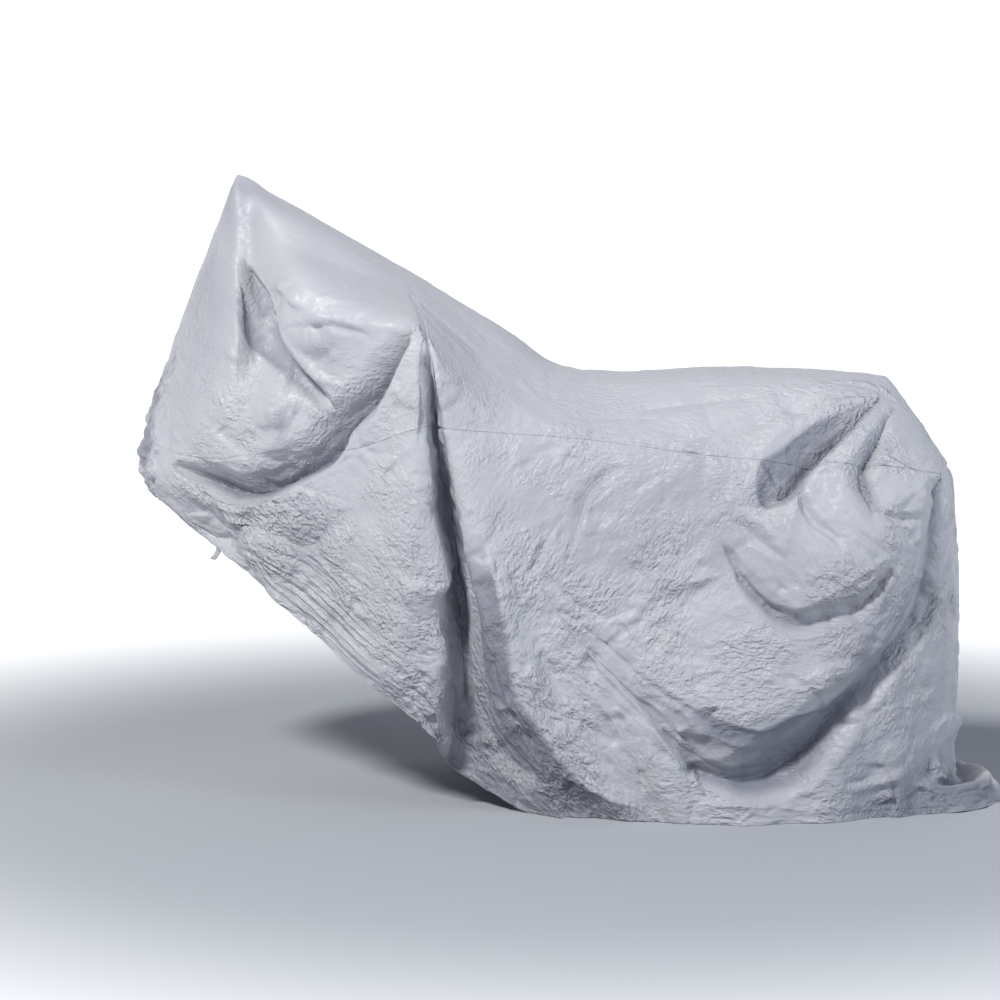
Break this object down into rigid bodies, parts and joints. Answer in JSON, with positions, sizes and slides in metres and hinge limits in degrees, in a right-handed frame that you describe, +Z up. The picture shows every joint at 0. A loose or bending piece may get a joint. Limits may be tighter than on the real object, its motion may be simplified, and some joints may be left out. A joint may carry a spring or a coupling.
{
  "type": "motorcycle cover",
  "caption": "Fitted cover of thin coated cloth for a parked motorcycle, hollow and hanging as if over one, with gathered nose, long side seams, puckered rear seams and its hem on the floor.",
  "frame": {"origin": "on the floor below the middle of the cover's box", "axes": "+X towards the tail, -X towards the nose, -Y to the machine's left side, +Z up"},
  "size_m": [1.962, 0.8084, 1.392],
  "materials": {
    "cloth": "semi-gloss coated, finely crinkled",
    "webbing": "matt woven strap"
  },
  "bodies": {
    "root": {"crown_panel": "cloth", "left_skirt": "cloth", "right_skirt": "cloth", "rear_panel": "cloth", "front_panel": "cloth", "hem_tab": "webbing"}
  },
  "joints": []
}
